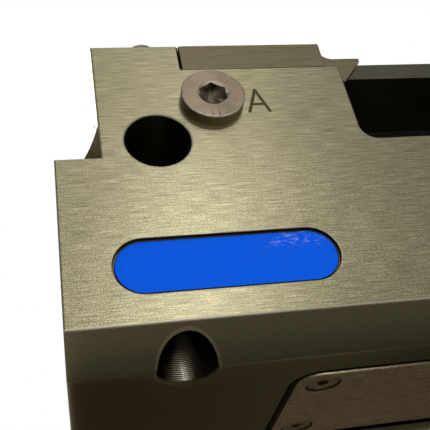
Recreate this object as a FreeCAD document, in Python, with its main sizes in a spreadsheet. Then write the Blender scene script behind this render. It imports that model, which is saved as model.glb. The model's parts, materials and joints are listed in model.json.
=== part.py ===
"""Pneumatic two-jaw parallel gripper with a wedge hook drive and toothed jaw guides.

The origin is the centre of the bottom mounting face. X is the stroke of the jaws, the front
face looks along -Y and the jaws point along +Z. The jaws are modelled at their open limit.
All sizes are in millimetres.
"""
import FreeCAD, Part
import math
import os
import re
import Sketcher

# Driving sizes, one cell of the sheet each
SIZES = {
    # Housing: a wide foot with a narrower guide block on it and four corner posts
    "body_length": 192.0,
    "body_depth": 74.0,
    "foot_height": 47.7,
    "guide_length": 172.0,
    "wall_height": 74.0,
    "post_height": 82.2,
    "post_gap": 0.1,
    "post_round": 0.8,
    "foot_chamfer": 7.0,
    "edge_break": 0.3,
    "root_width": 4.1,
    "root_height": 10.5,
    "root_radius": 40.0,
    "root_relief": 1.5,
    # Opening in the middle of the front and back walls
    "window_width": 49.2,
    "window_floor": 50.0,
    "window_radius": 4.0,
    # Guide channel with horizontal teeth
    "channel_width": 44.0,
    "channel_floor": 61.0,
    "tooth_depth": 3.0,
    "tooth_height": 2.6,
    "tooth_pitch": 4.4,
    "tooth_start": 1.5,
    "slide_gap": 0.1,
    # Room for the wedge hook below the channel
    "cavity_width": 32.0,
    "cavity_radius": 5.0,
    "ceiling": 5.5,
    # Oval cylinder, its cover and the piston
    "bore_length": 82.0,
    "bore_width": 36.0,
    "cover_margin_x": 8.4,
    "cover_margin_y": 3.6,
    "cover_radius": 6.5,
    "cover_screw_margin": 1.55,
    "cover_screw_sink": 0.4,
    "cover_thickness": 7.0,
    "cover_gap": 0.4,
    "cover_inset": 0.1,
    "cover_round": 2.8,
    "seal_offset": 0.5,
    "seal_width": 1.6,
    "seal_height": 1.6,
    "piston_height": 10.0,
    "piston_stroke": 20.0,
    "end_gap": 0.5,
    "piston_gap": 0.1,
    "ring_height": 3.6,
    "ring_depth": 2.6,
    "magnet_diameter": 6.0,
    "magnet_height": 3.0,
    "magnet_offset": 27.0,
    "rod_diameter": 20.0,
    "bushing_diameter": 26.0,
    "bushing_height": 2.6,
    "fit_gap": 0.03,
    # Wedge hook: T-shaped ribs along both inclined flanks and a wide chip shield on top
    "jaw_stroke": 16.0,
    "closed_gap": 3.4,
    "wedge_tip": 76.9,
    "slot_top": 74.5,
    "hook_height": 12.0,
    "hook_width": 27.6,
    "shield_height": 5.0,
    "shield_inset": 0.5,
    "neck_width": 10.0,
    "neck_reach": 5.0,
    "rib_width": 20.0,
    "rib_reach": 5.0,
    "hook_gap": 0.15,
    # Base jaws
    "jaw_length": 66.8,
    "jaw_top": 82.4,
    "pad_length": 36.6,
    "pad_inset": 0.2,
    "pad_round": 0.8,
    "pad_break": 0.2,
    "lip_length": 10.3,
    "lip_drop": 4.45,
    "lip_inset": 1.5,
    "lip_radius": 3.4,
    "skirt_gap": 0.2,
    "skirt_drop": 6.9,
    "leg_reach": 37.5,
    "leg_gap": 0.3,
    "finger_spacing_x": 20.0,
    "finger_spacing_y": 32.0,
    "finger_hole": 6.8,
    "finger_depth": 16.0,
    "finger_sleeve": 12.0,
    "finger_sleeve_depth": 3.2,
    # Control cams on the outer ends of the jaws
    "cam_length": 4.0,
    "cam_width": 12.0,
    "cam_height": 9.0,
    "cam_bevel": 2.0,
    # Threaded mounting holes in the bottom, with seats for locating sleeves
    "bolt_spacing_x": 146.0,
    "bolt_spacing_y": 59.0,
    "bolt_hole": 6.8,
    "bolt_depth": 34.0,
    "locating_diameter": 12.0,
    "locating_depth": 16.0,
    "locating_bevel": 0.4,
    # Counterbored bolt holes through the depth of the body
    "side_bolt_height": 52.0,
    "side_bolt_diameter": 9.0,
    "side_head_diameter": 15.0,
    "side_head_depth": 25.0,
    "rim_break": 0.3,
    # Air ports in the front face and their plugs
    "port_offset": 59.0,
    "port_level": 63.0,
    "port_diameter": 8.6,
    "port_depth": 10.0,
    "collar_diameter": 15.0,
    "collar_height": 3.05,
    "collar_bevel": 0.25,
    "plug_length": 8.0,
    "plug_socket": 6.0,
    "plug_socket_depth": 4.5,
    "plug_lead_in": 7.3,
    "plug_seal_width": 1.2,
    "plug_seal_height": 0.9,
    # Name plate in a shallow recess
    "plate_inset": 33.65,
    "plate_level": 19.7,
    "plate_length": 46.5,
    "plate_width": 12.0,
    "plate_thickness": 0.4,
    "plate_recess": 1.0,
    "plate_gap": 0.45,
    # Small screws and plugs
    "post_screw_inset": 6.6,
    "direct_port_offset_x": 62.0,
    "direct_port_offset_y": 20.0,
    "duct_plug_diameter": 6.0,
    "duct_plug_depth": 3.0,
    "duct_level": 33.0,
    "duct_inset": 13.0,
    "screw_gap": 0.05,
    "head_gap": 0.2,
    "socket_share": 0.6,
    "piston_thread_end": 2.5,
    "overcut": 1.0,
}

# Sizes worked out from the driving ones
DERIVED = {
    "half_depth": "body_depth / 2",
    "half_guide": "guide_length / 2",
    "half_window": "window_width / 2",
    "plate_offset": "body_length / 2 - plate_inset",
    "cover_length": "bore_length + 2 * cover_margin_x",
    "cover_width": "bore_width + 2 * cover_margin_y",
    "bore_top": "cover_thickness + piston_height + piston_stroke + 2 * end_gap",
    "cavity_floor": "bore_top + ceiling",
    "piston_top": "bore_top - end_gap",
    "piston_bottom": "piston_top - piston_height",
    "hook_bottom": "cavity_floor + end_gap + piston_stroke",
    "hook_top": "hook_bottom + hook_height",
    "shield_width": "body_depth - 2 * (lip_inset + shield_inset)",
    "slope": "jaw_stroke / piston_stroke",
    "tip_x": "-(closed_gap / 2 + jaw_stroke)",
    "leg_outer": "tip_x - leg_reach",
    "cavity_length": "2 * (cavity_radius - leg_outer)",
    "pad_inner": "tip_x - lip_length",
    "pad_outer": "pad_inner - pad_length",
    "pad_middle": "pad_inner - pad_length / 2",
    "post_inner": "post_gap - pad_outer",
    "jaw_outer": "tip_x - jaw_length",
    "jaw_floor": "wall_height + slide_gap",
    "guide_floor": "channel_floor + slide_gap",
    "leg_floor": "cavity_floor + leg_gap",
    "lip_top": "jaw_top - lip_drop",
    "cam_level": "(guide_floor + jaw_floor) / 2",
    "piston_screw_seat": "hook_top - piston_screw_rise - head_gap",
    "piston_screw_length": "piston_screw_seat - piston_bottom - piston_thread_end",
    "screw_x": "cover_length / 2 - cover_radius - cover_screw_margin",
    "screw_y": "cover_width / 2 - cover_radius - cover_screw_margin",
}

# The screws: thread and head diameters, height of the head, length of the thread, socket
SCREWS = {
    "cover_screw": {"thread": 4.0, "head": 7.5, "rise": 2.2, "length": 12.0, "socket": 2.5},
    "post_screw": {"thread": 4.0, "head": 7.0, "rise": 4.0, "length": 10.0, "socket": 3.0},
    "piston_screw": {"thread": 8.0, "head": 13.0, "rise": 8.0, "socket": 6.0},
    "cam_screw": {"thread": 3.0, "head": 5.5, "rise": 3.0, "length": 8.0, "socket": 2.5},
    "set_screw": {"thread": 5.0, "length": 6.0, "socket": 2.5},
}
for screw, values in SCREWS.items():
    for key, value in values.items():
        SIZES[f"{screw}_{key}"] = value

GUIDE_TEETH = 2
FULL_TURN = 360
HEX_STEP = FULL_TURN // 6
QUARTER = math.pi / 2
SIDES = (-1, 1)
TOLERANCE = 1e-4

doc = FreeCAD.newDocument("parallel_gripper")
sheet = doc.addObject("Spreadsheet::Sheet", "sizes")
for row, (alias, value) in enumerate(SIZES.items(), start=1):
    sheet.set(f"A{row}", alias)
    sheet.set(f"B{row}", str(value))
    sheet.setAlias(f"B{row}", alias)
doc.recompute()


def expand(formula):
    """Write a formula of named sizes as an expression on the sheet."""
    def reference(match):
        word = match.group()
        if word in DERIVED:
            return "(" + expand(DERIVED[word]) + ")"
        return "sizes." + word if word in SIZES else word
    return re.sub(r"[a-z][a-z0-9_]*", reference, str(formula))


def number(formula):
    """The value of a formula of named sizes."""
    return float(sheet.evalExpression(expand(formula)))


# Sketches

def new_body(name):
    body = doc.addObject("PartDesign::Body", name)
    body.Label = name
    return body


def sketch_on(body, name, plane, level="0"):
    """A sketch on one of the body's origin planes, moved along the plane's normal."""
    sketch = body.newObject("Sketcher::SketchObject", f"{body.Name}_{name}")
    support = next(item for item in body.Origin.OriginFeatures if item.Role == plane)
    sketch.AttachmentSupport = (support, [""])
    sketch.MapMode = "FlatFace"
    sketch.setExpression("AttachmentOffset.Base.z", expand(level))
    return sketch


def place_point(sketch, geometry, point, x, y):
    """Tie one point of a sketch to two formulas."""
    for kind, formula in (("DistanceX", x), ("DistanceY", y)):
        constraint = Sketcher.Constraint(kind, -1, 1, geometry, point, number(formula))
        index = sketch.addConstraint(constraint)
        sketch.setExpression(f"Constraints[{index}]", expand(formula))


def vector(x, y):
    return FreeCAD.Vector(number(x), number(y), 0)


def polygon(sketch, corners):
    first = sketch.GeometryCount
    count = len(corners)
    for index, corner in enumerate(corners):
        following = corners[(index + 1) % count]
        sketch.addGeometry(Part.LineSegment(vector(*corner), vector(*following)))
    for index, corner in enumerate(corners):
        following = first + (index + 1) % count
        sketch.addConstraint(Sketcher.Constraint("Coincident", first + index, 2, following, 1))
        place_point(sketch, first + index, 1, *corner)
    return sketch


def rectangle(sketch, left, right, low, high):
    return polygon(sketch, [(left, low), (right, low), (right, high), (left, high)])


def circle(sketch, x, y, diameter):
    radius = f"({diameter}) / 2"
    normal = FreeCAD.Vector(0, 0, 1)
    index = sketch.addGeometry(Part.Circle(vector(x, y), normal, number(radius)))
    place_point(sketch, index, 3, x, y)
    size = sketch.addConstraint(Sketcher.Constraint("Radius", index, number(radius)))
    sketch.setExpression(f"Constraints[{size}]", expand(radius))
    return sketch


def stadium(sketch, x, y, length, width):
    """A slot outline with round ends, its long side along the sketch's first axis."""
    radius = number(f"({width}) / 2")
    reach = f"(({length}) - ({width})) / 2"
    left = vector(f"{x} - {reach}", y)
    right = vector(f"{x} + {reach}", y)
    normal = FreeCAD.Vector(0, 0, 1)
    up = FreeCAD.Vector(0, radius, 0)
    first = sketch.GeometryCount
    left_arc = Part.ArcOfCircle(Part.Circle(left, normal, radius), QUARTER, 3 * QUARTER)
    right_arc = Part.ArcOfCircle(Part.Circle(right, normal, radius), -QUARTER, QUARTER)
    sketch.addGeometry(left_arc)
    sketch.addGeometry(Part.LineSegment(left - up, right - up))
    sketch.addGeometry(right_arc)
    sketch.addGeometry(Part.LineSegment(right + up, left + up))
    for index in range(4):
        following = first + (index + 1) % 4
        sketch.addConstraint(Sketcher.Constraint("Tangent", first + index, 2, following, 1))
    place_point(sketch, first, 3, f"{x} - {reach}", y)
    place_point(sketch, first + 2, 3, f"{x} + {reach}", y)
    size = sketch.addConstraint(Sketcher.Constraint("Radius", first, radius))
    sketch.setExpression(f"Constraints[{size}]", expand(f"({width}) / 2"))
    return sketch


def hexagon(sketch, x, y, flats):
    corners = []
    for turn in range(HEX_STEP // 2, FULL_TURN, HEX_STEP):
        across = f"({flats}) / sqrt(3)"
        corners.append((f"{x} + {across} * cos({turn} deg)", f"{y} + {across} * sin({turn} deg)"))
    return polygon(sketch, corners)


# Features

def extrude(kind, sketch, length, symmetric=False, reverse=False):
    """A Pad or a Pocket of one sketch."""
    body = sketch.getParentGeoFeatureGroup()
    feature = body.newObject(f"PartDesign::{kind}", f"{sketch.Name}_{kind.lower()}")
    feature.Profile = sketch
    feature.setExpression("Length", expand(length))
    if symmetric:
        feature.SideType = "Symmetric"
    feature.Reversed = reverse
    return feature


def revolve(sketch):
    """A full turn of one sketch about its own vertical axis."""
    body = sketch.getParentGeoFeatureGroup()
    feature = body.newObject("PartDesign::Revolution", f"{sketch.Name}_revolution")
    feature.Profile = sketch
    feature.ReferenceAxis = (sketch, ["V_Axis"])
    feature.Angle = FULL_TURN
    return feature


def dress(kind, body, size, chosen):
    """A Fillet or a Chamfer on the edges of the body that the test chooses."""
    doc.recompute()
    base = body.Tip
    names = [f"Edge{index}" for index, edge in enumerate(base.Shape.Edges, start=1) if chosen(edge)]
    feature = body.newObject(f"PartDesign::{kind}", f"{body.Name}_{kind.lower()}")
    feature.Base = (base, names)
    feature.setExpression("Radius" if kind == "Fillet" else "Size", expand(size))
    return feature


def seat(body, x, y, z, axis=(0, 0, 1), angle=0):
    """Put a body at a place that the sheet gives, turned about one axis."""
    body.Placement = FreeCAD.Placement(vector(x, y), FreeCAD.Rotation(FreeCAD.Vector(*axis), angle))
    for name, formula in (("x", x), ("y", y), ("z", z)):
        body.setExpression(f"Placement.Base.{name}", expand(formula))
    return body


def near(value, formula):
    return abs(value - number(formula)) < TOLERANCE


def straight_along(edge, axis):
    """Whether an edge is a straight line along one axis."""
    box = edge.BoundBox
    spans = {"X": box.XLength, "Y": box.YLength, "Z": box.ZLength}
    own = spans.pop(axis)
    return own > TOLERANCE and max(spans.values()) < TOLERANCE


# Housing

def housing():
    body = new_body("housing")
    outline = sketch_on(body, "outline", "XZ_Plane")
    right = [
        ("body_length / 2", "0"),
        ("body_length / 2", "foot_height"),
        ("half_guide", "foot_height"),
        ("half_guide", "post_height"),
        ("post_inner", "post_height"),
        ("post_inner", "wall_height"),
        ("half_window", "wall_height"),
        ("half_window", "window_floor"),
    ]
    left = [(f"-({x})", z) for x, z in reversed(right)]
    extrude("Pad", polygon(outline, right + left), "body_depth", symmetric=True)

    def window_corner(edge):
        middle = edge.CenterOfMass
        return (straight_along(edge, "Y") and near(middle.z, "window_floor")
                and near(abs(middle.x), "half_window"))
    dress("Fillet", body, "window_radius", window_corner)

    def post_corner(edge):
        middle = edge.CenterOfMass
        return (straight_along(edge, "Y") and near(middle.z, "post_height")
                and near(abs(middle.x), "post_inner"))
    dress("Fillet", body, "post_round", post_corner)

    def foot_edge(edge):
        middle = edge.CenterOfMass
        return (straight_along(edge, "X") and near(middle.z, "0")
                and near(abs(middle.y), "half_depth"))
    dress("Chamfer", body, "foot_chamfer", foot_edge)

    def face_outline(edge):
        box = edge.BoundBox
        return box.YLength < TOLERANCE and near(abs(box.YMin), "half_depth")
    dress("Chamfer", body, "edge_break", face_outline)

    # Hollow roots between the foot and the ends of the guide block, behind the face layers
    for side in SIDES:
        root = sketch_on(body, f"root_{'left' if side < 0 else 'right'}", "XZ_Plane")
        corner = (f"{side} * half_guide", "foot_height")
        out = (f"{side} * (half_guide + root_width)", "foot_height")
        up = (f"{side} * half_guide", "foot_height + root_height")
        hollow = (f"{side} * (half_guide + 0.45 * root_width)", "foot_height + 0.45 * root_height")
        begin, end = (out, up) if side < 0 else (up, out)
        root.addGeometry(Part.LineSegment(vector(*up), vector(*corner)))
        root.addGeometry(Part.LineSegment(vector(*corner), vector(*out)))
        root.addGeometry(Part.ArcOfCircle(vector(*begin), vector(*hollow), vector(*end)))
        out_end, up_end = (1, 2) if side < 0 else (2, 1)
        root.addConstraint(Sketcher.Constraint("Coincident", 0, 2, 1, 1))
        root.addConstraint(Sketcher.Constraint("Coincident", 1, 2, 2, out_end))
        root.addConstraint(Sketcher.Constraint("Coincident", 2, up_end, 0, 1))
        place_point(root, 0, 1, *up)
        place_point(root, 0, 2, *corner)
        place_point(root, 1, 2, *out)
        size = root.addConstraint(Sketcher.Constraint("Radius", 2, number("root_radius")))
        root.setExpression(f"Constraints[{size}]", expand("root_radius"))
        extrude("Pad", root, "body_depth - 2 * root_relief", symmetric=True)

    # Guide channel with its toothed walls, open at both ends and at the top
    section = sketch_on(body, "channel", "YZ_Plane")
    half = "channel_width / 2"
    wall = [(half, "channel_floor")]
    for tooth in range(GUIDE_TEETH):
        low = f"channel_floor + tooth_start + {tooth} * tooth_pitch"
        high = f"{low} + tooth_height"
        wall += [(half, low), (f"{half} + tooth_depth", low)]
        wall += [(f"{half} + tooth_depth", high), (half, high)]
    wall += [(half, "post_height + overcut")]
    other = [(f"-({y})", z) for y, z in reversed(wall)]
    extrude("Pocket", polygon(section, wall + other), "body_length", symmetric=True)

    cavity = sketch_on(body, "cavity", "XY_Plane", "channel_floor")
    rectangle(cavity, "-cavity_length / 2", "cavity_length / 2",
              "-cavity_width / 2", "cavity_width / 2")
    extrude("Pocket", cavity, "channel_floor - cavity_floor")

    def cavity_corner(edge):
        middle = edge.CenterOfMass
        return (straight_along(edge, "Z") and near(abs(middle.x), "cavity_length / 2")
                and near(abs(middle.y), "cavity_width / 2"))
    dress("Fillet", body, "cavity_radius", cavity_corner)

    # Cylinder from below: pocket of the cover, oval bore, bore of the rod bushing
    pocket = sketch_on(body, "cover_seat", "XY_Plane")
    rectangle(pocket, "-cover_length / 2 - cover_gap", "cover_length / 2 + cover_gap",
              "-cover_width / 2 - cover_gap", "cover_width / 2 + cover_gap")
    extrude("Pocket", pocket, "cover_thickness", reverse=True)

    def seat_corner(edge):
        middle = edge.CenterOfMass
        return (straight_along(edge, "Z") and near(abs(middle.x), "cover_length / 2 + cover_gap")
                and near(abs(middle.y), "cover_width / 2 + cover_gap"))
    dress("Fillet", body, "cover_radius + cover_gap", seat_corner)

    bore = sketch_on(body, "bore", "XY_Plane", "cover_thickness")
    extrude("Pocket", stadium(bore, "0", "0", "bore_length", "bore_width"),
            "bore_top - cover_thickness", reverse=True)
    rod = sketch_on(body, "bushing_bore", "XY_Plane", "cavity_floor")
    extrude("Pocket", circle(rod, "0", "0", "bushing_diameter"), "ceiling")

    # Bolt holes: four in the bottom and two across the body
    seats = sketch_on(body, "locating_seats", "XY_Plane")
    bolts = sketch_on(body, "bolt_holes", "XY_Plane")
    sides = sketch_on(body, "side_bolts", "XZ_Plane")
    heads = sketch_on(body, "side_heads", "XZ_Plane", "half_depth")
    for along in SIDES:
        for across in SIDES:
            place = (f"{along} * bolt_spacing_x / 2", f"{across} * bolt_spacing_y / 2")
            circle(seats, *place, "locating_diameter")
            circle(bolts, *place, "bolt_hole")
        axis = (f"{along} * bolt_spacing_x / 2", "side_bolt_height")
        circle(sides, *axis, "side_bolt_diameter")
        circle(heads, *axis, "side_head_diameter")
    extrude("Pocket", seats, "locating_depth", reverse=True)
    extrude("Pocket", bolts, "bolt_depth", reverse=True)
    extrude("Pocket", sides, "body_depth", symmetric=True)
    extrude("Pocket", heads, "side_head_depth")

    # Air ports, recess of the plate and holes of the small screws and plugs
    ports = sketch_on(body, "ports", "XZ_Plane", "half_depth")
    posts = sketch_on(body, "post_holes", "XY_Plane", "post_height")
    covers = sketch_on(body, "cover_holes", "XY_Plane", "cover_thickness")
    direct = sketch_on(body, "direct_ports", "XY_Plane")
    for along in SIDES:
        circle(ports, f"{along} * port_offset", "port_level", "port_diameter")
        circle(direct, f"{along} * direct_port_offset_x", "direct_port_offset_y",
               "set_screw_thread + 2 * screw_gap")
        for across in SIDES:
            circle(posts, f"{along} * bolt_spacing_x / 2",
                   f"{across} * (half_depth - post_screw_inset)",
                   "post_screw_thread + 2 * screw_gap")
            circle(covers, f"{along} * screw_x", f"{across} * screw_y",
                   "cover_screw_thread + 2 * screw_gap")
    extrude("Pocket", ports, "port_depth")
    extrude("Pocket", posts, "post_screw_length + overcut")
    extrude("Pocket", covers, "cover_screw_length", reverse=True)
    extrude("Pocket", direct, "cover_inset + set_screw_length", reverse=True)
    recess = sketch_on(body, "plate_recess", "XZ_Plane", "half_depth")
    stadium(recess, "-plate_offset", "plate_level",
            "plate_length + 2 * plate_gap", "plate_width + 2 * plate_gap")
    extrude("Pocket", recess, "plate_recess")
    for side in SIDES:
        name = "duct_left" if side < 0 else "duct_right"
        duct = sketch_on(body, name, "YZ_Plane", f"{side} * body_length / 2")
        circle(duct, "duct_inset - half_depth", "duct_level",
               "duct_plug_diameter + 2 * screw_gap")
        extrude("Pocket", duct, "duct_plug_depth", reverse=side < 0)

    def seat_rim(edge):
        return (edge.Curve.TypeId == "Part::GeomCircle" and near(edge.BoundBox.ZLength, "0")
                and near(edge.CenterOfMass.z, "0")
                and near(edge.Curve.Radius, "locating_diameter / 2"))
    dress("Chamfer", body, "locating_bevel", seat_rim)

    def side_rim(edge):
        box = edge.BoundBox
        if edge.Curve.TypeId != "Part::GeomCircle" or box.YLength > TOLERANCE:
            return False
        if box.YMin < 0:
            return near(box.YMin, "-half_depth") and near(edge.Curve.Radius, "side_head_diameter / 2")
        return near(box.YMin, "half_depth") and near(edge.Curve.Radius, "side_bolt_diameter / 2")
    dress("Chamfer", body, "rim_break", side_rim)
    return body


# Cylinder: cover, piston and rod

def cylinder_cover():
    body = new_body("cylinder_cover")
    outline = sketch_on(body, "outline", "XY_Plane", "cover_inset")
    rectangle(outline, "-cover_length / 2", "cover_length / 2", "-cover_width / 2", "cover_width / 2")
    extrude("Pad", outline, "cover_thickness - cover_inset")
    dress("Fillet", body, "cover_radius", lambda edge: straight_along(edge, "Z"))
    dress("Fillet", body, "cover_round",
          lambda edge: near(edge.BoundBox.ZMax, "cover_inset"))
    holes = sketch_on(body, "screw_holes", "XY_Plane", "cover_inset")
    for along in SIDES:
        for across in SIDES:
            circle(holes, f"{along} * screw_x", f"{across} * screw_y",
                   "cover_screw_thread + 2 * screw_gap")
    extrude("Pocket", holes, "cover_thickness", reverse=True)

    def hole_rim(edge):
        return (edge.Curve.TypeId == "Part::GeomCircle" and near(edge.BoundBox.ZMax, "cover_inset")
                and near(edge.Curve.Radius, "cover_screw_thread / 2 + screw_gap"))
    dress("Chamfer", body, "(cover_screw_head - cover_screw_thread) / 2 + cover_screw_sink", hole_rim)
    groove = sketch_on(body, "seal_groove", "XY_Plane", "cover_thickness")
    seal_outline(groove, "screw_gap")
    extrude("Pocket", groove, "seal_height")
    return body


def seal_outline(sketch, gap):
    """Two ovals around the bore, the second one wider: the ring of the cover seal."""
    inner = f"2 * (seal_offset - {gap})"
    outer = f"2 * (seal_offset + seal_width + {gap})"
    stadium(sketch, "0", "0", f"bore_length + {inner}", f"bore_width + {inner}")
    stadium(sketch, "0", "0", f"bore_length + {outer}", f"bore_width + {outer}")
    return sketch


def cover_seal():
    body = new_body("cover_seal")
    ring = sketch_on(body, "ring", "XY_Plane", "cover_thickness - seal_height")
    extrude("Pad", seal_outline(ring, "0"), "seal_height")
    return body


def piston():
    body = new_body("piston")
    land = "(piston_height - ring_height) / 2"
    length = "bore_length - 2 * piston_gap"
    width = "bore_width - 2 * piston_gap"
    for name, level, height, cut in (
            ("lower_land", "piston_bottom", land, "0"),
            ("core", f"piston_bottom + {land}", "ring_height", "ring_depth"),
            ("upper_land", f"piston_top - {land}", land, "0")):
        layer = sketch_on(body, name, "XY_Plane", level)
        stadium(layer, "0", "0", f"{length} - 2 * {cut}", f"{width} - 2 * {cut}")
        extrude("Pad", layer, height)
    thread = sketch_on(body, "thread", "XY_Plane", "piston_top")
    extrude("Pocket", circle(thread, "0", "0", "piston_screw_thread + 2 * screw_gap"),
            "piston_height")
    magnets = sketch_on(body, "magnet_seats", "XY_Plane", "piston_bottom")
    for side in SIDES:
        circle(magnets, f"{side} * magnet_offset", "0", "magnet_diameter + 2 * screw_gap")
    extrude("Pocket", magnets, "magnet_height", reverse=True)
    return body


def piston_seal():
    body = new_body("piston_seal")
    middle = "(piston_top + piston_bottom) / 2"
    ring = sketch_on(body, "ring", "XY_Plane", f"{middle} - ring_height / 2 + screw_gap")
    cut = "2 * (piston_gap + ring_depth - screw_gap)"
    stadium(ring, "0", "0", f"bore_length - {cut}", f"bore_width - {cut}")
    stadium(ring, "0", "0", "bore_length - 2 * screw_gap", "bore_width - 2 * screw_gap")
    extrude("Pad", ring, "ring_height - 2 * screw_gap")
    return body


def ring_body(name, inner, outer, low, high):
    """A plain ring about the middle axis."""
    body = new_body(name)
    sketch = sketch_on(body, "ring", "XY_Plane", low)
    circle(sketch, "0", "0", inner)
    circle(sketch, "0", "0", outer)
    extrude("Pad", sketch, f"({high}) - ({low})")
    return body


def disc_body(name, diameter, height):
    """A plain disc that stands on the origin."""
    body = new_body(name)
    sketch = sketch_on(body, "disc", "XY_Plane")
    extrude("Pad", circle(sketch, "0", "0", diameter), height)
    return body


# Wedge hook and jaws

def flank(height, offset="0"):
    """X of the left inclined flank at a height, moved outwards by an offset."""
    return f"tip_x - (wedge_tip - ({height})) * slope - ({offset})"


def flank_band(sketch, low, high, near_offset, far_offset, side=-1):
    """A slanted band beside the left flank, or its mirror image."""
    corners = [
        (flank(low, far_offset), low),
        (flank(low, near_offset), low),
        (flank(high, near_offset), high),
        (flank(high, far_offset), high),
    ]
    turn = 1 if side < 0 else -1
    return polygon(sketch, [(f"{turn} * ({x})", z) for x, z in corners])


def wedge_hook():
    body = new_body("wedge_hook")
    low, high = "hook_bottom", "hook_top"
    for name, floor, width in (("wedge", low, "hook_width"),
                               ("shield", "hook_top - shield_height", "shield_width")):
        layer = sketch_on(body, name, "XZ_Plane")
        left = [(flank(high, "-hook_gap"), high), (flank(floor, "-hook_gap"), floor)]
        right = [(f"-({x})", z) for x, z in reversed(left)]
        extrude("Pad", polygon(layer, left + right), width, symmetric=True)
    neck_far = "neck_reach + rib_reach - hook_gap"
    rib_top = "slot_top - 2 * end_gap"
    for side in SIDES:
        name = "left" if side < 0 else "right"
        neck = sketch_on(body, f"neck_{name}", "XZ_Plane")
        flank_band(neck, low, rib_top, "-overcut", neck_far, side)
        extrude("Pad", neck, "neck_width", symmetric=True)
        rib = sketch_on(body, f"rib_{name}", "XZ_Plane")
        flank_band(rib, low, rib_top, "neck_reach + hook_gap", neck_far, side)
        extrude("Pad", rib, "rib_width", symmetric=True)
    hole = sketch_on(body, "screw_hole", "XY_Plane", high)
    extrude("Pocket", circle(hole, "0", "0", "piston_screw_thread + 2 * screw_gap"), "hook_height")
    head = sketch_on(body, "screw_head", "XY_Plane", high)
    extrude("Pocket", circle(head, "0", "0", "piston_screw_head + 2 * head_gap"),
            "hook_top - piston_screw_seat")
    return body


def base_jaw(name, turn):
    """The left jaw, or the right one, which is the left one turned about the middle axis."""
    body = new_body(name)
    # Wide lip over the walls with a short skirt in the window below it
    lip = sketch_on(body, "lip", "XZ_Plane")
    rectangle(lip, "pad_middle", "tip_x", "jaw_floor", "lip_top")
    extrude("Pad", lip, "body_depth - 2 * lip_inset", symmetric=True)
    skirt = sketch_on(body, "skirt", "XZ_Plane")
    rectangle(skirt, "-half_window + skirt_gap", "tip_x", "wedge_tip - skirt_drop", "lip_top - overcut")
    extrude("Pad", skirt, "body_depth - 2 * lip_inset", symmetric=True)

    # Toothed guide bar in the channel, with the finger pad on it
    section = sketch_on(body, "guide", "YZ_Plane", "jaw_outer")
    half = "channel_width / 2 - slide_gap"
    wall = [(half, "guide_floor")]
    for tooth in range(GUIDE_TEETH):
        low = f"channel_floor + tooth_start + {tooth} * tooth_pitch + slide_gap"
        high = f"{low} + tooth_height - 2 * slide_gap"
        wall += [(half, low), (f"{half} + tooth_depth", low)]
        wall += [(f"{half} + tooth_depth", high), (half, high)]
    wall += [(half, "jaw_floor")]
    other = [(f"-({y})", z) for y, z in reversed(wall)]
    extrude("Pad", polygon(section, wall + other), "jaw_length")
    pad = sketch_on(body, "pad", "XZ_Plane")
    rectangle(pad, "pad_outer", "pad_inner", "jaw_floor", "jaw_top")
    extrude("Pad", pad, "body_depth - 2 * pad_inset", symmetric=True)
    leg = sketch_on(body, "leg", "XZ_Plane")
    rectangle(leg, "leg_outer", "tip_x", "leg_floor", "guide_floor + overcut")
    extrude("Pad", leg, "cavity_width - 2 * slide_gap", symmetric=True)

    # Inclined inner face and the T-slot for the rib of the hook
    face = sketch_on(body, "inclined_face", "XZ_Plane")
    below = "leg_floor - overcut"
    polygon(face, [(flank(below), below), ("0", below), ("0", "wedge_tip"), ("tip_x", "wedge_tip")])
    extrude("Pocket", face, "body_depth", symmetric=True)
    neck = sketch_on(body, "slot_neck", "XZ_Plane")
    flank_band(neck, below, "slot_top", "-overcut", "neck_reach + overcut")
    extrude("Pocket", neck, "neck_width + 2 * hook_gap", symmetric=True)
    rib = sketch_on(body, "slot_rib", "XZ_Plane")
    flank_band(rib, below, "slot_top", "neck_reach", "neck_reach + rib_reach")
    extrude("Pocket", rib, "rib_width + 2 * hook_gap", symmetric=True)

    holes = sketch_on(body, "finger_holes", "XY_Plane", "jaw_top")
    sleeves = sketch_on(body, "finger_sleeves", "XY_Plane", "jaw_top")
    for along in SIDES:
        for across in SIDES:
            place = (f"pad_middle + {along} * finger_spacing_x / 2",
                     f"{across} * finger_spacing_y / 2")
            circle(holes, *place, "finger_hole")
            circle(sleeves, *place, "finger_sleeve")
    extrude("Pocket", holes, "finger_depth")
    extrude("Pocket", sleeves, "finger_sleeve_depth")
    cam_hole = sketch_on(body, "cam_hole", "YZ_Plane", "jaw_outer")
    circle(cam_hole, "0", "cam_level", "cam_screw_thread + 2 * screw_gap")
    extrude("Pocket", cam_hole, "cam_screw_length", reverse=True)

    def inner_step(edge):
        middle = edge.CenterOfMass
        return (straight_along(edge, "Y") and near(middle.x, "pad_inner")
                and near(middle.z, "lip_top"))
    dress("Fillet", body, "min(lip_radius; lip_drop - slide_gap)", inner_step)

    def outer_corner(edge):
        middle = edge.CenterOfMass
        return (straight_along(edge, "Y") and near(middle.x, "pad_outer")
                and near(middle.z, "jaw_top"))
    dress("Fillet", body, "pad_round", outer_corner)

    def pad_rim(edge):
        return straight_along(edge, "X") and near(edge.CenterOfMass.z, "jaw_top")
    dress("Chamfer", body, "pad_break", pad_rim)
    return seat(body, "0", "0", "0", angle=turn)


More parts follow.
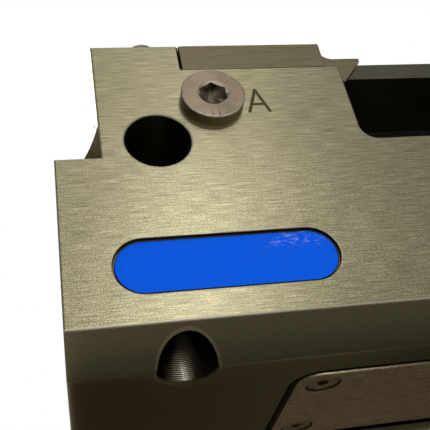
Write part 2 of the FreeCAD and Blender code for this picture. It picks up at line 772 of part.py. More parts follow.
def control_cam(name, turn):
    """A small switching cam on the outer end of a jaw, with bevelled upper and lower edges."""
    body = new_body(name)
    section = sketch_on(body, "section", "XZ_Plane")
    low = "cam_level - cam_height / 2"
    high = "cam_level + cam_height / 2"
    outer = "jaw_outer - cam_length"
    polygon(section, [("jaw_outer", low), ("jaw_outer", high), (f"{outer} + cam_bevel", high),
                      (outer, f"{high} - cam_bevel"), (outer, f"{low} + cam_bevel"),
                      (f"{outer} + cam_bevel", low)])
    extrude("Pad", section, "cam_width", symmetric=True)
    hole = sketch_on(body, "hole", "YZ_Plane", "jaw_outer")
    circle(hole, "0", "cam_level", "cam_screw_thread + 2 * screw_gap")
    extrude("Pocket", hole, "cam_length")
    head = sketch_on(body, "head", "YZ_Plane", outer)
    circle(head, "0", "cam_level", "cam_screw_head + 2 * head_gap")
    extrude("Pocket", head, "cam_screw_rise", reverse=True)
    return seat(body, "0", "0", "0", angle=turn)


# Screws, plugs and small pieces

def cap_screw(name):
    """A socket head screw along Z with the underside of its head at the origin."""
    body = new_body(name)
    head, rise = f"{name}_head / 2", f"{name}_rise"
    thread, length = f"{name}_thread / 2", f"{name}_length"
    profile = sketch_on(body, "profile", "XZ_Plane")
    polygon(profile, [("0", f"-{length}"), (thread, f"-{length}"), (thread, "0"), (head, "0"),
                      (head, rise), ("0", rise)])
    revolve(profile)
    socket = sketch_on(body, "socket", "XY_Plane", rise)
    extrude("Pocket", hexagon(socket, "0", "0", f"{name}_socket"), f"{rise} * socket_share")
    return body


def countersunk_screw(name):
    """A countersunk socket screw along Z with the top of its head at the origin."""
    body = new_body(name)
    head, thread = f"{name}_head / 2", f"{name}_thread / 2"
    profile = sketch_on(body, "profile", "XZ_Plane")
    cone = f"-({head} - {thread})"
    polygon(profile, [("0", f"-{name}_length"), (thread, f"-{name}_length"), (thread, cone),
                      (f"{head} - screw_gap", "-screw_gap"), ("0", "-screw_gap")])
    revolve(profile)
    socket = sketch_on(body, "socket", "XY_Plane")
    extrude("Pocket", hexagon(socket, "0", "0", f"{name}_socket"), f"{name}_rise * socket_share")
    return body


def set_screw(name):
    """A headless socket screw along Z with its driven end at the origin."""
    body = new_body(name)
    shank = sketch_on(body, "shank", "XY_Plane")
    extrude("Pad", circle(shank, "0", "0", f"{name}_thread"), f"{name}_length", reverse=True)
    socket = sketch_on(body, "socket", "XY_Plane")
    extrude("Pocket", hexagon(socket, "0", "0", f"{name}_socket"), f"{name}_length * socket_share")
    return body


def port_plug(name, side):
    """A plug with a hexagon socket and a round collar that rests on the front face."""
    body = new_body(name)
    shank = "port_diameter / 2 - fit_gap"
    collar = "collar_diameter / 2"
    groove = "port_diameter / 2 + plug_seal_width"
    profile = sketch_on(body, "profile", "XZ_Plane")
    polygon(profile, [
        ("0", "-plug_length"), (shank, "-plug_length"), (shank, "plug_seal_height"),
        (f"{groove} + fit_gap", "plug_seal_height"), (f"{groove} + fit_gap", "0"), (collar, "0"),
        (collar, "collar_height - collar_bevel"), (f"{collar} - collar_bevel", "collar_height"),
        ("plug_lead_in / 2", "collar_height"), ("0", "collar_height - plug_lead_in / 4")])
    revolve(profile)
    socket = sketch_on(body, "socket", "XY_Plane", "collar_height")
    extrude("Pocket", hexagon(socket, "0", "0", "plug_socket"), "plug_socket_depth")
    return seat(body, f"{side} * port_offset", "-half_depth", "port_level", (1, 0, 0), 90)


def plug_seal(name, side):
    """The sealing ring in the underside of a plug's collar."""
    body = new_body(name)
    ring = sketch_on(body, "ring", "XY_Plane")
    circle(ring, "0", "0", "port_diameter")
    circle(ring, "0", "0", "port_diameter + 2 * plug_seal_width")
    extrude("Pad", ring, "plug_seal_height - fit_gap")
    return seat(body, f"{side} * port_offset", "-half_depth", "port_level", (1, 0, 0), 90)


def label_plate():
    body = new_body("label_plate")
    outline = sketch_on(body, "outline", "XZ_Plane", "half_depth - plate_recess")
    stadium(outline, "-plate_offset", "plate_level", "plate_length", "plate_width")
    extrude("Pad", outline, "plate_thickness")
    return body


def group_of(name, pattern, placements):
    """One node of several equal solids, each the pattern at one placement."""
    doc.recompute()
    copies = []
    for placement in placements:
        copy = pattern.Shape.copy()
        copy.Placement = placement
        copies.append(copy)
    group = doc.addObject("Part::Feature", name)
    group.Label = name
    group.Shape = Part.makeCompound(copies)
    return group


def placed(x, y, z, axis=(0, 0, 1), angle=0):
    place = FreeCAD.Vector(number(x), number(y), number(z))
    return FreeCAD.Placement(place, FreeCAD.Rotation(FreeCAD.Vector(*axis), angle))


def corners(x, y, z, axis=(0, 0, 1), angle=0):
    """Four placements, mirrored in X and Y."""
    return [placed(f"{along} * ({x})", f"{across} * ({y})", z, axis, angle)
            for along in SIDES for across in SIDES]


def small_pieces():
    """Groups of equal screws, plugs and magnets."""
    cover = countersunk_screw("cover_screw")
    post = cap_screw("post_screw")
    direct = set_screw("set_screw")
    plug = disc_body("duct_plug", "duct_plug_diameter", "duct_plug_depth")
    magnet = disc_body("magnet", "magnet_diameter", "magnet_height")
    downwards = {"axis": (1, 0, 0), "angle": 180}
    screws = [
        group_of("cover_screws", cover, corners(
            "screw_x", "screw_y", "cover_inset + cover_screw_sink", **downwards)),
        group_of("post_screws", post, corners(
            "bolt_spacing_x / 2", "half_depth - post_screw_inset", "post_height")),
        group_of("direct_port_screws", direct, [
            placed(f"{side} * direct_port_offset_x", "direct_port_offset_y",
                   "cover_inset", **downwards) for side in SIDES]),
    ]
    plugs = group_of("duct_plugs", plug, [
        placed(f"{side} * (body_length / 2 - duct_plug_depth)", "duct_inset - half_depth",
               "duct_level", (0, 1, 0), 90 * side) for side in SIDES])
    magnets = group_of("piston_magnets", magnet, [
        placed(f"{side} * magnet_offset", "0", "piston_bottom") for side in SIDES])
    return screws + [plugs, magnets]


def piston_screw():
    return seat(cap_screw("piston_screw"), "0", "0", "piston_screw_seat")


# Assembly

def assembly():
    pieces = [housing(), cylinder_cover(), cover_seal()]
    pieces += [piston(), piston_seal(), wedge_hook(), piston_screw()]
    pieces.append(ring_body("piston_rod", "piston_screw_thread + 2 * screw_gap", "rod_diameter",
                            "piston_top", "hook_bottom"))
    pieces.append(ring_body("rod_bushing", "rod_diameter + 2 * fit_gap",
                            "bushing_diameter - 2 * fit_gap",
                            "cavity_floor - bushing_height", "cavity_floor"))
    pieces.append(ring_body("rod_seal", "rod_diameter + 2 * fit_gap",
                            "bushing_diameter - 2 * fit_gap",
                            "bore_top", "cavity_floor - bushing_height"))
    screw = cap_screw("cam_screw")
    for side, name in ((-1, "left"), (1, "right")):
        turn = 0 if side < 0 else 180
        pieces.append(base_jaw(f"{name}_base_jaw", turn))
        pieces.append(control_cam(f"{name}_control_cam", turn))
        place = placed(f"{side} * (-jaw_outer + cam_length - cam_screw_rise)", "0",
                       "cam_level", (0, 1, 0), 90 * side)
        pieces.append(group_of(f"{name}_cam_screw", screw, [place]))
        port = "a" if side < 0 else "b"
        pieces.append(port_plug(f"port_plug_{port}", side))
        pieces.append(plug_seal(f"plug_seal_{port}", side))
    pieces.append(label_plate())
    return pieces + small_pieces()


def check(pieces):
    """Stop on a failed feature, an empty or broken shape, or a pocket that cuts nothing."""
    doc.recompute()
    for item in doc.Objects:
        if "Invalid" in item.State or "Error" in item.State:
            raise RuntimeError(f"{item.Label} failed: {item.State}")
        if item.isDerivedFrom("PartDesign::Pocket"):
            if item.Shape.Volume >= item.BaseFeature.Shape.Volume - TOLERANCE:
                raise RuntimeError(f"{item.Label} cuts nothing")
    for piece in pieces:
        if piece.Shape.isNull() or not piece.Shape.isValid():
            raise RuntimeError(f"{piece.Label} has no valid shape")


nodes = assembly()
check(nodes)
os.makedirs("parts", exist_ok=True)
for node in nodes:
    node.Shape.exportStep(f"parts/{node.Label}.step")
    print(node.Label, len(node.Shape.Solids), round(node.Shape.Volume / 1000, 2), "cm3")
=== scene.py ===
import json
import math

import bpy
from mathutils import Matrix, Vector


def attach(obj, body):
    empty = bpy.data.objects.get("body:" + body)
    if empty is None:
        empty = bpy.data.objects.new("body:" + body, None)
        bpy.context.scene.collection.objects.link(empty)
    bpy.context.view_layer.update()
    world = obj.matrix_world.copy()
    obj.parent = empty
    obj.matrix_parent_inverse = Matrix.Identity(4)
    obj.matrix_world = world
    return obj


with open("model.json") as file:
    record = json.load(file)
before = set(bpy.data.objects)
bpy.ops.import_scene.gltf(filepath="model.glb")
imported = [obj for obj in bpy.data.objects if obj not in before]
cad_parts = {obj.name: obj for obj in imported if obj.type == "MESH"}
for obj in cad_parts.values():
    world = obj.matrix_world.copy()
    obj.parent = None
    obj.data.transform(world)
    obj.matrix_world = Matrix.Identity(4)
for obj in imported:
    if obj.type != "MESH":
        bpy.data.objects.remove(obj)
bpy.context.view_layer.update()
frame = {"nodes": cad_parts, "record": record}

NODES = frame["nodes"]


# Places on the part, in metres; a pair is the place of an axis in the plane that it crosses

def corners_of(name):
    """Lowest and highest corner of a solid."""
    points = [vertex.co for vertex in NODES[name].data.vertices]
    low = Vector([min(point[axis] for point in points) for axis in range(3)])
    high = Vector([max(point[axis] for point in points) for axis in range(3)])
    return low, high


FRONT = corners_of("housing")[0].y
COVER_CORNER = corners_of("cylinder_cover")[1]

plug_low, plug_high = corners_of("port_plug_b")
PORT = ((plug_low.x + plug_high.x) / 2, (plug_low.z + plug_high.z) / 2)
COLLAR_RADIUS = (plug_high.x - plug_low.x) / 2
COLLAR_FACE = plug_low.y
SOCKET_RADIUS = 0.0036

plate_low, plate_high = corners_of("label_plate")
PLATE = ((plate_low.x + plate_high.x) / 2, (plate_low.z + plate_high.z) / 2)
PLATE_RADIUS = (plate_high.z - plate_low.z) / 2
PLATE_STRAIGHT = (plate_high.x - plate_low.x) / 2 - PLATE_RADIUS
PLATE_FLOOR = plate_high.y

SIDE_BOLT = (0.073, 0.052)
SIDE_HEAD_RADIUS = 0.0075
SEAT = (0.073, 0.0295)
SEAT_RADIUS = 0.006
SEAT_DEPTH = 0.016
GUIDE_END = 0.086
FOOT_TOP = 0.0477
FOOT_CHAMFER = 0.007
PAD_END = 0.0646
WALL_TOP = 0.0742
RIM_BREAK = 0.0003
COVER_GAP = 0.0006
COVER_ROUND = 0.00034


# Materials

class Graph:
    """The nodes of a material or a world, with short ways to add and join them."""

    def __init__(self, owner):
        self.owner = owner
        owner.use_nodes = True
        self.tree = owner.node_tree
        self.coordinates = self.add("ShaderNodeTexCoord").outputs
        self.place = self.coordinates["Object"]

    def add(self, kind, **settings):
        node = self.tree.nodes.new(kind)
        for key, value in settings.items():
            setattr(node, key, value)
        return node

    def feed(self, socket, value):
        if isinstance(value, bpy.types.NodeSocket):
            self.tree.links.new(value, socket)
        else:
            socket.default_value = value

    def set(self, **sockets):
        """Values of the material's main shader."""
        shader = self.tree.nodes["Principled BSDF"]
        for name, value in sockets.items():
            self.feed(shader.inputs[name.replace("_", " ")], value)

    def math(self, operation, first, second=0.0, third=0.0):
        node = self.add("ShaderNodeMath", operation=operation)
        for socket, value in zip(node.inputs, (first, second, third)):
            self.feed(socket, value)
        return node.outputs[0]

    def size(self, value):
        return self.math("ABSOLUTE", value)

    def times(self, value, factor):
        return self.math("MULTIPLY", value, factor)

    def away(self, value, middle):
        """Distance of a value from a middle."""
        return self.size(self.math("SUBTRACT", value, middle))

    def over(self, value, limit):
        return self.math("GREATER_THAN", value, limit)

    def under(self, value, limit):
        return self.math("LESS_THAN", value, limit)

    def near(self, value, middle, spare):
        return self.math("COMPARE", value, middle, spare)

    def either(self, first, second):
        return self.math("MAXIMUM", first, second)

    def both(self, *tests):
        """One where all tests are one."""
        result = tests[0]
        for test in tests[1:]:
            result = self.times(result, test)
        return result

    def split(self, vector):
        """X, Y and Z of a vector."""
        node = self.add("ShaderNodeSeparateXYZ")
        self.feed(node.inputs[0], vector)
        return node.outputs

    def join(self, x, y, z):
        node = self.add("ShaderNodeCombineXYZ")
        for socket, value in zip(node.inputs, (x, y, z)):
            self.feed(socket, value)
        return node.outputs[0]

    def facing(self):
        """X, Y and Z of the surface's normal."""
        return self.split(self.add("ShaderNodeNewGeometry").outputs["Normal"])

    def reach(self, plane, centre):
        """Distance from the nearest axis, where the axes stand at mirrored places of a plane."""
        squares = []
        for coordinate, middle in zip(plane, centre):
            away = self.math("SUBTRACT", self.size(coordinate), middle)
            squares.append(self.times(away, away))
        return self.math("SQRT", self.math("ADD", *squares))

    def mix_of(self, *parts):
        """The sum of (share, value) pairs."""
        result = 0.0
        for share, value in parts:
            result = self.math("MULTIPLY_ADD", value, share, result)
        return result

    def noise(self, stretch, detail=2.0, source=None):
        """Noise with so many cycles per metre along each axis."""
        mapping = self.add("ShaderNodeMapping")
        self.feed(mapping.inputs["Vector"], source or self.place)
        mapping.inputs["Scale"].default_value = stretch
        texture = self.add("ShaderNodeTexNoise")
        self.feed(texture.inputs["Vector"], mapping.outputs[0])
        texture.inputs["Scale"].default_value = 1.0
        texture.inputs["Detail"].default_value = detail
        return texture.outputs[0]

    def even_noise(self, cycles, detail):
        """Noise that is alike along all axes."""
        return self.noise((cycles, cycles, cycles), detail)

    def span(self, value, low, high, start=0.0, end=1.0):
        """The value's way from low to high, as a number from start to end."""
        node = self.add("ShaderNodeMapRange")
        for socket, number in zip(node.inputs, (value, low, high, start, end)):
            self.feed(socket, number)
        return node.outputs[0]

    def blend(self, share, first, second):
        """A colour between two colours."""
        node = self.add("ShaderNodeMix", data_type="RGBA")
        self.feed(node.inputs[0], share)
        self.feed(node.inputs[6], first)
        self.feed(node.inputs[7], second)
        return node.outputs[2]

    def weigh(self, share, first, second):
        """A number between two numbers."""
        node = self.add("ShaderNodeMix")
        self.feed(node.inputs[0], share)
        self.feed(node.inputs[2], first)
        self.feed(node.inputs[3], second)
        return node.outputs[0]

    def bump(self, height, depth, rounding=None):
        """A relief of the given depth, on edges that look rounded where a radius is given."""
        node = self.add("ShaderNodeBump")
        node.inputs["Distance"].default_value = depth
        self.feed(node.inputs["Height"], height)
        if rounding:
            edge = self.add("ShaderNodeBevel", samples=6)
            edge.inputs["Radius"].default_value = rounding
            self.feed(node.inputs["Normal"], edge.outputs[0])
        return node.outputs[0]

    def grain(self, along, across, detail=2.0):
        """Short lines along X, or along Y on the faces that look along X."""
        lengthwise = self.noise((along, across, across), detail)
        crosswise = self.noise((across, along, across), detail)
        sideways = self.size(self.facing()[0])
        return self.weigh(self.span(sideways, 0.6, 0.8), lengthwise, crosswise)


BLACK = (0, 0, 0, 1)


def shade(colour, factor):
    return tuple(channel * factor for channel in colour) + (1.0,)


def ground_metal(name, colour, roughness, along, across, contrast, depth, shaded=None):
    """Bare metal with fine parallel lines, small flecks and broad clouds, and painted shade in narrow
    gaps.
    """
    graph = Graph(bpy.data.materials.new(name))
    lines = graph.grain(along, across)
    flecks = graph.even_noise(2600, 1.0)
    clouds = graph.even_noise(45, 3.0)
    mixed = graph.mix_of((0.5, lines), (0.3, flecks), (0.2, clouds))
    tone = graph.span(mixed, 0.40, 0.60)
    paint = graph.blend(tone, shade(colour, 1 - contrast), shade(colour, 1 + contrast))
    # Painted shade: beyond the given distance from the middle and above the given height, the metal is
    # darkened where it lies in a narrow gap or pocket.
    if shaded:
        x, _, z = graph.split(graph.place)
        gap_shade = graph.both(graph.over(graph.size(x), shaded[0]), graph.over(z, shaded[1]))
        paint = graph.blend(gap_shade, paint, shade(colour, 0.08))
    graph.set(
        Base_Color=paint,
        Metallic=1.0,
        Roughness=graph.span(lines, 0.3, 0.7, roughness - 0.05, roughness + 0.05),
        Normal=graph.bump(mixed, depth, 0.0002),
    )
    return graph.owner


def plate_reach(graph, x, z):
    """Distance from the middle line of the oblong plate."""
    along = graph.math("SUBTRACT", graph.away(x, PLATE[0]), PLATE_STRAIGHT)
    return graph.reach((graph.math("MAXIMUM", along, 0.0), z), (0.0, PLATE[1]))


HOUSING_COLOUR = (0.247, 0.224, 0.138)
EDGE_HIGHLIGHT = (0.56, 0.53, 0.42, 1)
STREAK_HIGHLIGHT = (0.98, 0.96, 0.80, 1)
ROOT_SHADES = ((0.024, 0.020, 0.007, 1), (0.062, 0.040, 0.023, 1))
ROOT_HEIGHTS = (0.048, 0.054)
LINED_HEIGHTS = (0.030, 0.060)
STREAK = 0.0742
STREAK_HEIGHTS = (0.0075, 0.0015)
STREAK_WIDTHS = (0.0034, 0.0007)
RING_PITCH = 0.0004
EDGE_ROUNDING = 0.00035


def housing_grain(graph, height, underside):
    """Sparkle, relief and tone of the housing: lines prevail higher up, undersides are calm."""
    sparkle = graph.even_noise(4400, 2.0)
    clouds = graph.even_noise(45, 3.0)
    lines = graph.weigh(underside, graph.grain(170, 4000, 3.0), sparkle)
    lined = graph.span(height, *LINED_HEIGHTS)
    relief = graph.weigh(
        lined,
        graph.mix_of((0.40, lines), (0.52, sparkle), (0.08, clouds)),
        graph.mix_of((0.62, lines), (0.30, sparkle), (0.08, clouds)))
    calm = graph.either(graph.times(underside, 0.7), graph.times(lined, 0.4))
    tone = graph.weigh(calm, graph.span(relief, 0.37, 0.63), 0.5)
    return sparkle, relief, graph.math("POWER", tone, 1.6)


def paint_edge_highlights(graph, paint, place, underside):
    """Painted highlights: light lines on the lower front edge and the rims of the side bores, and
    lighter seats' mouths on the underside.
    """
    x, y, z = place
    line = graph.either(
        graph.near(z, FOOT_CHAMFER + RIM_BREAK / 2, RIM_BREAK / 2),
        graph.near(graph.reach((x, z), SIDE_BOLT), SIDE_HEAD_RADIUS + RIM_BREAK / 2, RIM_BREAK / 2))
    line = graph.both(line, graph.under(y, FRONT + RIM_BREAK))
    mouth = graph.near(graph.reach((x, y), SEAT), SEAT_RADIUS + RIM_BREAK, RIM_BREAK)
    paint = graph.blend(line, paint, EDGE_HIGHLIGHT)
    return graph.blend(graph.both(underside, mouth), paint, shade(HOUSING_COLOUR, 1.6))


def shade_in_hollows(graph, paint, place, forward):
    """Painted shade: darker side bores, the label's recess, narrow gaps, the cover's pocket and the
    hollow roots.
    """
    x, y, z = place
    aside, depth = graph.size(x), graph.size(y)
    bore = graph.both(
        graph.under(graph.reach((x, z), SIDE_BOLT), SIDE_HEAD_RADIUS),
        graph.under(depth, -FRONT - RIM_BREAK))
    groove = graph.both(
        graph.under(plate_reach(graph, x, z), PLATE_RADIUS + 2 * RIM_BREAK),
        graph.over(y, FRONT + RIM_BREAK),
        graph.under(y, PLATE_FLOOR + RIM_BREAK))
    gap_shade = graph.both(graph.near(aside, PAD_END, 2 * RIM_BREAK), graph.over(z, WALL_TOP))
    pocket = graph.both(
        graph.under(aside, COVER_CORNER.x + COVER_GAP),
        graph.under(depth, COVER_CORNER.y + COVER_GAP),
        graph.over(z, RIM_BREAK / 4),
        graph.under(z, COVER_CORNER.z + RIM_BREAK))
    # The roots' front faces get a painted shade, near black lower down and dark brown higher up.
    root = graph.both(
        graph.over(aside, GUIDE_END + RIM_BREAK / 4),
        graph.over(z, FOOT_TOP + RIM_BREAK / 4),
        graph.over(graph.size(forward), 0.5))
    # Painted shade in the side bores, the label's groove, the gap by the pads and the cover's pocket.
    for hollow, factor in ((bore, 0.5), (groove, 0.30), (graph.either(gap_shade, pocket), 0.12)):
        paint = graph.blend(hollow, paint, shade(HOUSING_COLOUR, factor))
    return graph.blend(root, paint, graph.blend(graph.span(z, *ROOT_HEIGHTS), *ROOT_SHADES))


def anodised_metal():
    """Olive hard anodised housing: sparkling grain and turned rings in the seats, with painted shade
    in hollows and on sloping undersides, painted highlights on edges and a painted reflection streak
    in the seats.
    """
    graph = Graph(bpy.data.materials.new("anodised_metal"))
    place = graph.split(graph.place)
    x, y, z = place
    _, forward, upward = graph.facing()
    underside = graph.span(upward, -0.3, -0.6)
    sloped_shade = graph.both(underside, graph.span(upward, -0.97, -0.85))
    sparkle, relief, tone = housing_grain(graph, z, underside)
    paint = graph.blend(tone, shade(HOUSING_COLOUR, 0.60), shade(HOUSING_COLOUR, 1.75))
    # Painted highlights on the lower front edge, the side bores' rims and the seats' mouths.
    paint = paint_edge_highlights(graph, paint, place, underside)
    # Painted shade: sloping downward faces such as the foot chamfer are darkened towards black; flat
    # bottoms are left as they are.
    paint = graph.blend(graph.times(sloped_shade, 0.46), paint, BLACK)
    paint = shade_in_hollows(graph, paint, place, forward)

    # Painted reflection in the seats: a bright streak down each wall, with darkened sides; the turned
    # rings are a relief.
    seat = graph.both(
        graph.under(graph.reach((x, y), SEAT), SEAT_RADIUS * 1.01),
        graph.under(z, SEAT_DEPTH * 1.01))
    painted_streak = graph.both(
        graph.span(z, *STREAK_HEIGHTS),
        graph.span(graph.away(graph.size(x), STREAK), *STREAK_WIDTHS))
    seat_shade_and_streak = graph.blend(painted_streak, shade(HOUSING_COLOUR, 0.32), STREAK_HIGHLIGHT)
    rings = graph.math("SINE", graph.times(z, 2 * math.pi / RING_PITCH))
    height = graph.weigh(seat, relief, graph.times(rings, 1.2))
    brushing = graph.add("ShaderNodeTangent", direction_type="RADIAL", axis="X")
    graph.set(
        Base_Color=graph.blend(seat, paint, seat_shade_and_streak),
        Metallic=1.0,
        Anisotropic=0.6,
        Tangent=brushing.outputs[0],
        Roughness=graph.weigh(seat, graph.span(sparkle, 0.3, 0.7, 0.29, 0.37), 0.22),
        Normal=graph.bump(height, 2.4e-5, EDGE_ROUNDING),
    )
    return graph.owner


PLUG_EDGE_HIGHLIGHT = (0.46, 0.42, 0.37, 1)
FLANK_PAINTED_SHADES = ((0.13, 0.11, 0.065, 1), (0.40, 0.36, 0.24, 1))
FLANK_PLACES = (PORT[0] + 0.0055, PORT[0] - 0.0045)
SOCKET_STREAK_PAINT = ((0.13, 0.12, 0.095, 1), (0.46, 0.43, 0.36, 1))
SOCKET_WIDTHS = (0.0016, 0.0002)
NICKED_HEIGHTS = (PORT[1] - 0.0042, PORT[1] - 0.0054)


def turned_metal(name, colour, roughness):
    """Plated steel plugs with turned rings about the port axes and a few nicks; painted shade on the
    collar's side, a painted reflection streak in the socket and painted highlights on the rim and
    lead-in.
    """
    graph = Graph(bpy.data.materials.new(name))
    x, y, z = graph.split(graph.place)
    aside = graph.size(x)
    reach = graph.reach((x, z), PORT)
    rings = graph.noise((3600, 1, 1), 2.0, graph.join(reach, 0.0, 0.0))
    clouds = graph.even_noise(260, 3.0)
    tone = graph.span(graph.mix_of((0.6, clouds), (0.4, rings)), 0.35, 0.65)
    paint = graph.blend(tone, shade(colour, 0.85), shade(colour, 1.15))

    flank = graph.both(
        graph.over(reach, COLLAR_RADIUS * 0.995),
        graph.over(y, COLLAR_FACE + RIM_BREAK))
    rim = graph.both(
        graph.over(reach, COLLAR_RADIUS - RIM_BREAK),
        graph.under(y, COLLAR_FACE + RIM_BREAK),
        graph.under(z, PORT[1]))
    lead_in = graph.both(
        graph.near(reach, SOCKET_RADIUS - RIM_BREAK, RIM_BREAK),
        graph.over(z, PORT[1]))
    socket = graph.under(reach, SOCKET_RADIUS)
    # Painted shade on the collar's side: dark on its outer side, lighter towards the middle.
    flank_shading = graph.blend(graph.span(aside, *FLANK_PLACES), *FLANK_PAINTED_SHADES)
    # Painted reflection in the socket: a light streak down the middle between darker sides.
    painted_streak = graph.span(graph.away(aside, PORT[0]), *SOCKET_WIDTHS)
    paint = graph.blend(flank, paint, flank_shading)
    paint = graph.blend(socket, paint, graph.blend(painted_streak, *SOCKET_STREAK_PAINT))
    # Painted highlights on the lower half of the collar's rim and the upper half of the socket's
    # lead-in.
    paint = graph.blend(graph.either(rim, lead_in), paint, PLUG_EDGE_HIGHLIGHT)
    nicks = graph.both(
        graph.span(graph.noise((2400, 2400, 260), 2.0), 0.60, 0.68),
        graph.span(z, *NICKED_HEIGHTS))
    graph.set(
        Base_Color=graph.blend(graph.times(nicks, 0.7), paint, shade(colour, 0.2)),
        Metallic=1.0,
        Roughness=graph.weigh(
            socket, graph.span(clouds, 0.3, 0.7, roughness - 0.06, roughness + 0.06), 0.16),
        Normal=graph.bump(rings, 6e-6, 0.00025),
    )
    return graph.owner


FOIL_SHADES = ((0.0005, 0.105, 0.86, 1), (0.001, 0.135, 1.0, 1))
FOIL_RIM_SHADE = (0.006, 0.010, 0.020, 1)
SCUFF_COLOUR = (0.55, 0.60, 0.70, 1)
SCUFF_MIDDLE = -0.047
SCUFF_WIDTHS = (0.010, 0.004)
SCUFF_HEIGHTS = (0.0215, 0.0235)


def blue_foil():
    """Satin blue plate with a painted shade along its rim, slight mottling and pale scuffs near one
    end.
    """
    graph = Graph(bpy.data.materials.new("blue_foil"))
    x, _, z = graph.split(graph.place)
    mottling = graph.even_noise(400, 3.0)
    scuffs = graph.both(
        graph.span(graph.away(x, SCUFF_MIDDLE), *SCUFF_WIDTHS),
        graph.span(z, *SCUFF_HEIGHTS),
        graph.span(graph.noise((700, 700, 4200), 3.0), 0.58, 0.64))
    paint = graph.blend(graph.times(scuffs, 0.4), graph.blend(mottling, *FOIL_SHADES), SCUFF_COLOUR)
    # Painted shade along the plate's rim.
    rim = graph.over(plate_reach(graph, x, z), PLATE_RADIUS - RIM_BREAK / 2)
    graph.set(
        Base_Color=graph.blend(rim, paint, FOIL_RIM_SHADE),
        Roughness=graph.span(mottling, 0.3, 0.7, 0.42, 0.52),
        Specular_IOR_Level=0.03,
        Normal=graph.bump(mottling, 8e-6),
    )
    return graph.owner


def soft_dark(name, colour, gloss):
    """Black rubber or a dark engraved line, with a dusty mottling."""
    graph = Graph(bpy.data.materials.new(name))
    dust = graph.even_noise(1500, 3.0)
    graph.set(
        Base_Color=graph.blend(dust, shade(colour, 0.6), shade(colour, 1.5)),
        Roughness=graph.span(dust, 0.3, 0.7, 0.5, 0.7),
        Specular_IOR_Level=gloss,
        Normal=graph.bump(dust, 1e-5),
    )
    return graph.owner


# Bare metals: colour, roughness, cycles of the grain along and across it, contrast, relief, and
# the distance from the middle and the height beyond which the metal gets a painted shade, as in a
# narrow gap
METALS = {
    "cover_metal": ((0.82, 0.73, 0.69), 0.28, 300, 2600, 0.16, 8e-6, (0, COVER_ROUND)),
    "jaw_steel": ((0.146, 0.124, 0.074), 0.34, 120, 2600, 0.11, 8e-6, (PAD_END - RIM_BREAK, WALL_TOP)),
    "ground_steel": ((0.42, 0.41, 0.39), 0.27, 120, 3000, 0.12, 5e-6),
    "black_steel": ((0.075, 0.072, 0.055), 0.42, 120, 2600, 0.20, 6e-6),
    "bright_screw": ((0.62, 0.55, 0.47), 0.30, 600, 2000, 0.16, 6e-6),
    "screw_steel": ((0.20, 0.185, 0.165), 0.36, 900, 1800, 0.16, 6e-6),
    "plain_aluminium": ((0.66, 0.66, 0.67), 0.33, 150, 2200, 0.10, 6e-6),
    "bushing_bronze": ((0.52, 0.34, 0.16), 0.32, 400, 2200, 0.12, 6e-6),
    "magnet": ((0.42, 0.42, 0.43), 0.30, 600, 2000, 0.12, 5e-6),
}
LOOKS = {name: ground_metal(name, *values) for name, values in METALS.items()}
LOOKS["anodised_housing"] = anodised_metal()
LOOKS["plug_steel"] = turned_metal("plug_steel", (0.236, 0.184, 0.130), 0.30)
LOOKS["blue_plate"] = blue_foil()
LOOKS["seal_rubber"] = soft_dark("seal_rubber", (0.012, 0.0115, 0.010), 0.25)
for entry in frame["record"]["subparts"]:
    mesh = NODES[entry["node"]].data
    mesh.materials.clear()
    mesh.materials.append(LOOKS[entry["material_slot"]])


# Pieces that only the visual model has: the engraved port letters, in a field of unit height

LETTER_HEIGHT = 0.0069
LETTER_FOOT = 0.0595
LETTER_LEFTS = (-0.0504, 0.0460)
LETTER_STROKE = 0.00078
LETTER_PROUD = 0.00002
STROKE_STEP = 0.000002
ROUND_STEPS = 8
STEM = 0.05
BOW_START = 0.28
WAIST = 0.52
ENGRAVED = soft_dark("engraved_line", (0.080, 0.062, 0.032), 0.05)


def add_mesh(name, points, faces, body, material):
    mesh = bpy.data.meshes.new(name)
    mesh.from_pydata(points, [], faces)
    mesh.update()
    piece = bpy.data.objects.new(name, mesh)
    bpy.context.scene.collection.objects.link(piece)
    mesh.materials.append(material)
    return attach(piece, body)


def ribbon(points, faces, start, end):
    """A flat stroke with round ends on the front face, from start to end as (x, z)."""
    first = len(points)
    along = math.atan2(end[1] - start[1], end[0] - start[0])
    level = FRONT - LETTER_PROUD - STROKE_STEP * len(faces)
    for centre, turn in ((start, along + math.pi / 2), (end, along - math.pi / 2)):
        for step in range(ROUND_STEPS + 1):
            angle = turn + math.pi * step / ROUND_STEPS
            points.append((centre[0] + LETTER_STROKE / 2 * math.cos(angle), level,
                           centre[1] + LETTER_STROKE / 2 * math.sin(angle)))
    faces.append(list(range(first, len(points))))


def bow(level, reach, rise):
    """The right half of an oval, from its foot to its top."""
    angles = [math.pi * step / ROUND_STEPS for step in range(ROUND_STEPS + 1)]
    return [(BOW_START + reach * math.sin(angle), level - rise * math.cos(angle)) for angle in angles]


def port_letter(name, left, strokes):
    points, faces = [], []
    for run in strokes:
        places = [(left + x * LETTER_HEIGHT, LETTER_FOOT + z * LETTER_HEIGHT) for x, z in run]
        for start, end in zip(places, places[1:]):
            ribbon(points, faces, start, end)
    return add_mesh(name, points, faces, "body", ENGRAVED)


LETTER_A = [
    [(0.0, 0.0), (0.355, 1.0), (0.71, 0.0)],
    [(0.125, 0.33), (0.585, 0.33)],
]
LETTER_B = [
    [(STEM, 0.0), (STEM, 1.0)],
    [(STEM, 0.0)] + bow(WAIST / 2, 0.30, WAIST / 2) + [(STEM, WAIST)],
    [(BOW_START, WAIST)] + bow((1 + WAIST) / 2, 0.25, (1 - WAIST) / 2) + [(STEM, 1.0)],
]
port_letter("port_letter_a", LETTER_LEFTS[0], LETTER_A)
port_letter("port_letter_b", LETTER_LEFTS[1], LETTER_B)


# Stage, light and camera

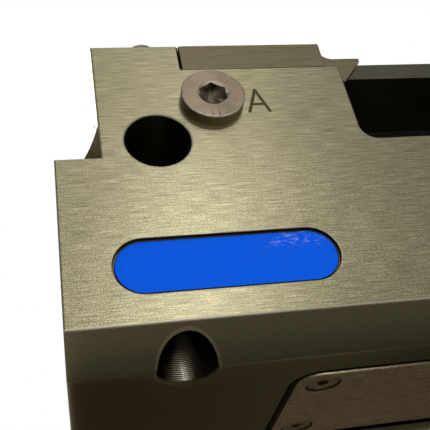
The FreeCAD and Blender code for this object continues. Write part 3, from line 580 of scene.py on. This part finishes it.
FLOOR_HALF = 3.0
FLOOR_LEVEL = -0.0006
FLOOR_FADE = (0.25, 0.9)
FLOOR_SEEN = (0.82, 0.82, 0.81, 1)
FLOOR_MIRRORED = (0.55, 0.53, 0.48, 1)
FLOOR_BOUNCE = (0.25, 0.24, 0.215, 1)
FLOOR_GLOW = (0.80, 0.65, 0.35, 1)


def floor_material():
    """Pale floor seen from above only, fading out far away; some light passes to the underside."""
    graph = Graph(bpy.data.materials.new("pale_floor"))
    tree = graph.tree
    tree.nodes.remove(tree.nodes["Principled BSDF"])
    path = graph.add("ShaderNodeLightPath").outputs
    tone = graph.blend(path["Is Glossy Ray"], FLOOR_BOUNCE, FLOOR_MIRRORED)
    tone = graph.blend(path["Is Camera Ray"], tone, FLOOR_SEEN)
    speckle = graph.times(graph.even_noise(60, 3.0), 0.05)
    top = graph.add("ShaderNodeBsdfDiffuse")
    graph.feed(top.inputs["Color"], graph.blend(speckle, tone, BLACK))
    clear = graph.add("ShaderNodeBsdfTransparent")
    glow = graph.add("ShaderNodeBsdfTransparent")
    glow.inputs["Color"].default_value = FLOOR_GLOW
    thin = graph.add("ShaderNodeMixShader")
    thin.inputs[0].default_value = 0.06
    graph.feed(thin.inputs[1], top.outputs[0])
    graph.feed(thin.inputs[2], glow.outputs[0])

    x, y, _ = graph.split(graph.place)
    far = graph.span(graph.reach((x, y), (0.0, 0.0)), *FLOOR_FADE)
    below = graph.add("ShaderNodeNewGeometry").outputs["Backfacing"]
    sided = graph.add("ShaderNodeMixShader")
    graph.feed(sided.inputs[0], graph.either(graph.both(far, path["Is Camera Ray"]), below))
    graph.feed(sided.inputs[1], thin.outputs[0])
    graph.feed(sided.inputs[2], clear.outputs[0])
    graph.feed(tree.nodes["Material Output"].inputs["Surface"], sided.outputs[0])
    return graph.owner


floor_signs = ((-1, -1), (1, -1), (1, 1), (-1, 1))
floor_corners = [(x * FLOOR_HALF, y * FLOOR_HALF, FLOOR_LEVEL) for x, y in floor_signs]
floor_mesh = bpy.data.meshes.new("floor")
floor_mesh.from_pydata(floor_corners, [], [(0, 1, 2, 3)])
floor_mesh.materials.append(floor_material())
floor = bpy.data.objects.new("floor", floor_mesh)
bpy.context.scene.collection.objects.link(floor)


def studio_world():
    """White behind the part; the white that its metal mirrors fades towards both sides."""
    graph = Graph(bpy.data.worlds.new("studio"))
    sideways = graph.size(graph.split(graph.coordinates["Generated"])[0])
    mirrored = graph.span(sideways, 0.10, 0.75, 1.0, 0.30)
    path = graph.add("ShaderNodeLightPath").outputs
    sky = graph.tree.nodes["Background"].inputs
    sky["Color"].default_value = (1, 1, 1, 1)
    graph.feed(sky["Strength"], graph.weigh(path["Is Glossy Ray"], 1.0, mirrored))
    return graph.owner


bpy.context.scene.world = studio_world()

AIM = Vector((0.0, 0.0, 0.04))


def softbox(name, direction, distance, size, power, colour=(1, 1, 1)):
    """A square soft lamp in one direction from the part, turned to it and not seen itself."""
    lamp = bpy.data.lights.new(name, "AREA")
    lamp.shape = "SQUARE"
    lamp.size = size
    lamp.energy = power
    lamp.color = colour
    holder = bpy.data.objects.new(name, lamp)
    way = Vector(direction).normalized()
    holder.location = AIM + way * distance
    holder.rotation_euler = way.to_track_quat("Z", "Y").to_euler()
    holder.visible_camera = False
    bpy.context.scene.collection.objects.link(holder)


softbox("front_box", (0.117, -0.904, 0.434), 1.2, 0.18, 1.5)
softbox("low_box", (0.05, -0.99, 0.06), 1.2, 0.12, 0.8)
softbox("back_box", (-0.45, 0.75, 0.75), 1.4, 0.7, 6.0)
softbox("under_box", (0.25, 0.53, -0.81), 1.0, 0.18, 4.5, (0.60, 0.71, 1.0))

# The photograph's camera
CAMERA_PLACE = (-0.094254, -0.162792, -0.055505)
CAMERA_RIGHT = Vector((0.978470, -0.127142, -0.162577))
CAMERA_UP = Vector((0.061021, -0.574290, 0.816375))
CAMERA_BACK = Vector((-0.197161, -0.808719, -0.554167))
camera_data = bpy.data.cameras.new("camera")
camera_data.sensor_width = 36.0
camera_data.lens = 62.056
camera_data.clip_start = 0.005
camera = bpy.data.objects.new("camera", camera_data)
camera_turn = Matrix((CAMERA_RIGHT, CAMERA_UP, CAMERA_BACK)).transposed()
camera.matrix_world = Matrix.Translation(CAMERA_PLACE) @ camera_turn.to_4x4()
bpy.context.scene.collection.objects.link(camera)
bpy.context.scene.camera = camera

bpy.context.scene.view_settings.view_transform = "Standard"
